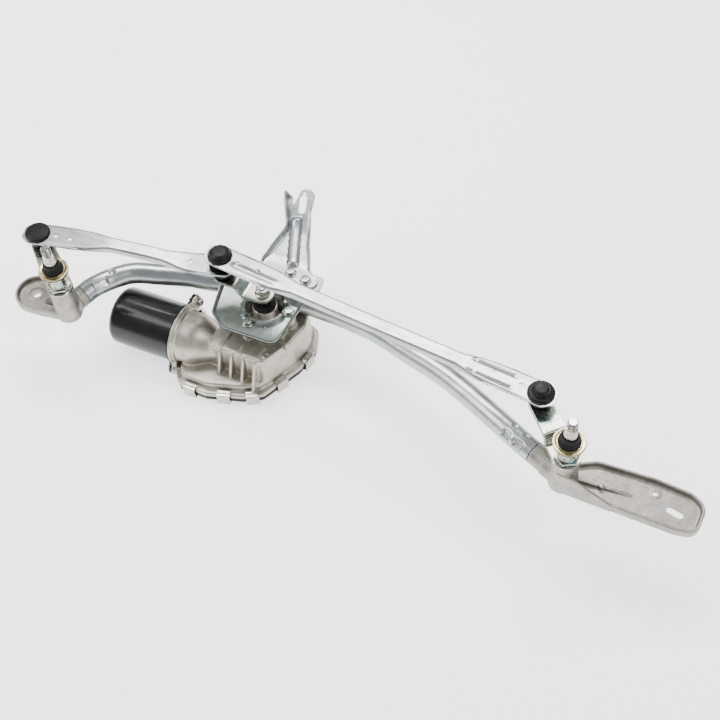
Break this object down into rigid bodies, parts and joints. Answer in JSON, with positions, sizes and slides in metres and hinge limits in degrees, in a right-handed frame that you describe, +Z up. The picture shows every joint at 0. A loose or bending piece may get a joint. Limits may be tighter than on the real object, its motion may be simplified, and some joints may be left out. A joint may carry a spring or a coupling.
{
  "type": "windshield wiper linkage with motor",
  "caption": "Wiper linkage: a bent frame tube between two cast pivot housings, a gear motor on a pressed plate, crank, pressed links, levers and two wiper shafts.",
  "frame": {"origin": "on the seating face under the right cast arm, in front of its slot", "axes": "+Z up along the wiper shafts, +X from the left pivot towards the right pivot, +Y towards the rear arm"},
  "size_m": [0.7495, 0.248, 0.1797],
  "materials": {
    "galvanised_steel": "zinc galvanised, satin",
    "zinc_plate": "bright zinc plated with a faint green and yellow tint",
    "yellow_zinc": "yellow passivated zinc",
    "die_cast_alloy": "matt, as cast",
    "gear_case_alloy": "as cast, faintly warm",
    "plate_steel": "zinc coated sheet, grey green",
    "bright_steel": "turned, bright",
    "black_enamel": "semi-gloss black",
    "black_plastic": "moulded, satin",
    "seal_rubber": "matt black",
    "bush_bronze": "sintered",
    "gear_nylon": "natural",
    "magnet_ferrite": "matt grey",
    "winding_copper": "enamelled copper"
  },
  "bodies": {
    "frame": {"frame_tube": "galvanised_steel", "left_pivot_housing": "die_cast_alloy", "right_pivot_housing": "die_cast_alloy", "motor_plate": "plate_steel", "rear_arm": "galvanised_steel", "rear_arm_bolt_1": "zinc_plate", "rear_arm_bolt_2": "zinc_plate", "motor_bolt_1": "zinc_plate", "motor_bolt_2": "zinc_plate", "motor_bolt_3": "zinc_plate", "gear_housing": "gear_case_alloy", "motor_yoke": "black_enamel", "gear_cover": "black_plastic", "cover_clip_1": "bright_steel", "cover_clip_2": "bright_steel", "cover_clip_3": "bright_steel", "cover_clip_4": "bright_steel", "cover_clip_5": "bright_steel", "cover_clip_6": "bright_steel", "cover_clip_7": "bright_steel", "yoke_screw_1": "zinc_plate", "yoke_screw_2": "zinc_plate", "output_bush": "bush_bronze", "output_seal": "seal_rubber", "left_bush": "bush_bronze", "right_bush": "bush_bronze", "upper_magnet": "magnet_ferrite", "lower_magnet": "magnet_ferrite", "brush_card": "black_plastic"},
    "crank": {"crank_arm": "zinc_plate", "crank_nut": "zinc_plate", "crank_pin": "bright_steel", "output_shaft": "bright_steel", "worm_wheel": "gear_nylon"},
    "left_lever": {"left_lever": "zinc_plate", "left_lever_ball": "bright_steel", "left_wiper_shaft": "bright_steel", "left_circlip": "bright_steel", "left_shaft_sleeve": "zinc_plate", "left_collar": "yellow_zinc", "left_collar_seal": "seal_rubber", "left_seal_cone": "seal_rubber"},
    "right_lever": {"right_lever": "zinc_plate", "right_lever_ball": "bright_steel", "right_wiper_shaft": "bright_steel", "right_circlip": "bright_steel", "right_shaft_sleeve": "zinc_plate", "right_collar": "yellow_zinc", "right_collar_seal": "seal_rubber", "right_seal_cone": "seal_rubber"},
    "left_link": {"left_link": "galvanised_steel", "left_link_inner_socket": "black_plastic", "left_link_outer_socket": "black_plastic", "lower_crank_ball": "bright_steel"},
    "right_link": {"right_link": "galvanised_steel", "right_link_inner_socket": "black_plastic", "right_link_outer_socket": "black_plastic", "upper_crank_ball": "bright_steel"},
    "armature": {"worm_shaft": "bright_steel", "armature_core": "winding_copper"}
  },
  "joints": [
    {"name": "crank_turn", "type": "hinge", "parent": "frame", "child": "crank", "pos_m": [-0.463, 0.0905, 0.001], "axis": [0, 0, -1], "range_deg": [0, 180]},
    {"name": "left_lever_turn", "type": "hinge", "parent": "frame", "child": "left_lever", "pos_m": [-0.6575, 0.009, 0.041], "axis": [0, 0, -1], "range_deg": [0, 99.41]},
    {"name": "right_lever_turn", "type": "hinge", "parent": "frame", "child": "right_lever", "pos_m": [-0.1075, 0.009, 0.041], "axis": [0, 0, -1], "range_deg": [0, 96.13]},
    {"name": "left_link_swing", "type": "hinge", "parent": "left_lever", "child": "left_link", "pos_m": [-0.70137, 0.0474, 0.061], "axis": [0, 0, -1], "range_deg": [-99.82, 0]},
    {"name": "right_link_swing", "type": "hinge", "parent": "right_lever", "child": "right_link", "pos_m": [-0.1484, 0.0518, 0.061], "axis": [0, 0, -1], "range_deg": [-95.06, 0]},
    {"name": "armature_spin", "type": "hinge", "parent": "frame", "child": "armature", "pos_m": [-0.523, 0.0515, -0.039], "axis": [1, 0, 0], "continuous": true}
  ],
  "couplings": [
    {"joint": "left_lever_turn", "follows": "crank_turn", "ratio": 0.55221},
    {"joint": "right_lever_turn", "follows": "crank_turn", "ratio": 0.53399},
    {"joint": "left_link_swing", "follows": "crank_turn", "ratio": -0.55451},
    {"joint": "right_link_swing", "follows": "crank_turn", "ratio": -0.52804}
  ]
}
